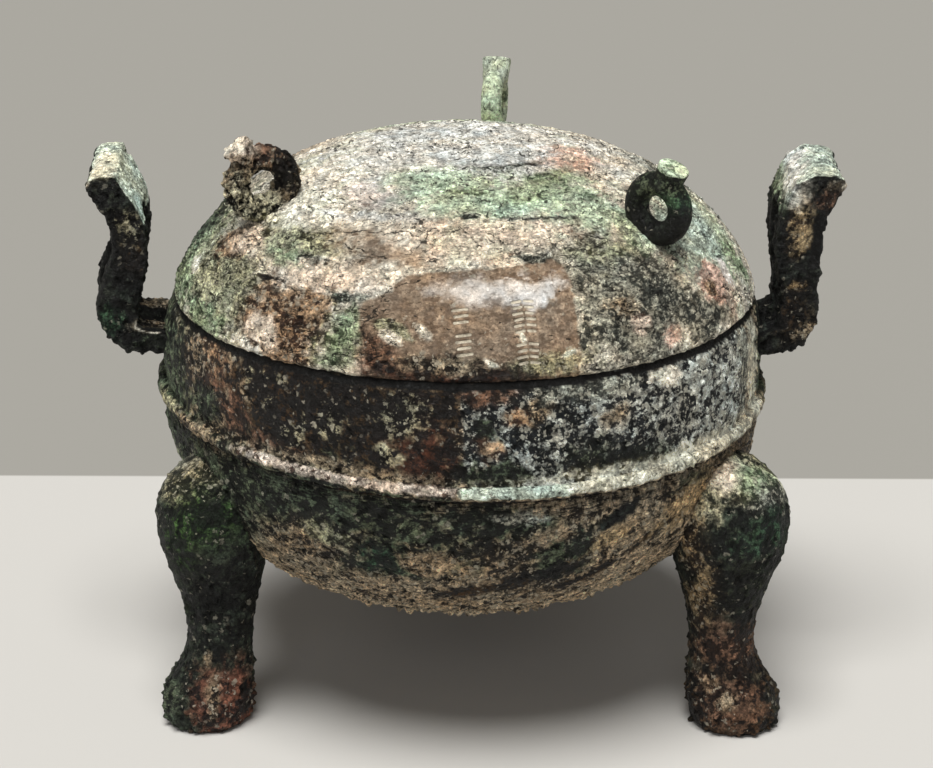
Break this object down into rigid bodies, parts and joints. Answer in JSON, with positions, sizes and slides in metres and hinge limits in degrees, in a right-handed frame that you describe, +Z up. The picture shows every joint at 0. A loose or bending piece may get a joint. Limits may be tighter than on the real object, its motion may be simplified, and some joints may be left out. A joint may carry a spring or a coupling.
{
  "type": "bronze ding vessel",
  "caption": "Round bronze cooking tripod with upright loop ears, hoof-footed legs and a domed, ring-knobbed lid that rests on its mouth and lifts off.",
  "frame": {"origin": "on the floor, at the middle of the box round the whole part; the vessel's own axis stands 2.1 mm to +X and 11.3 mm to -Y of it", "axes": "+Z up, X along the line of the two ears, -Y towards the front, where two of the three legs stand and the lid bears its rows of strokes"},
  "size_m": [0.3494, 0.3066, 0.2779],
  "materials": {
    "vessel": "dark green, brown and blue-black patina with tan crust",
    "lid": "pale green, cream and rusty brown patina, flaked and cracked"
  },
  "bodies": {
    "root": {"vessel": "vessel", "lid": "lid"}
  },
  "joints": []
}
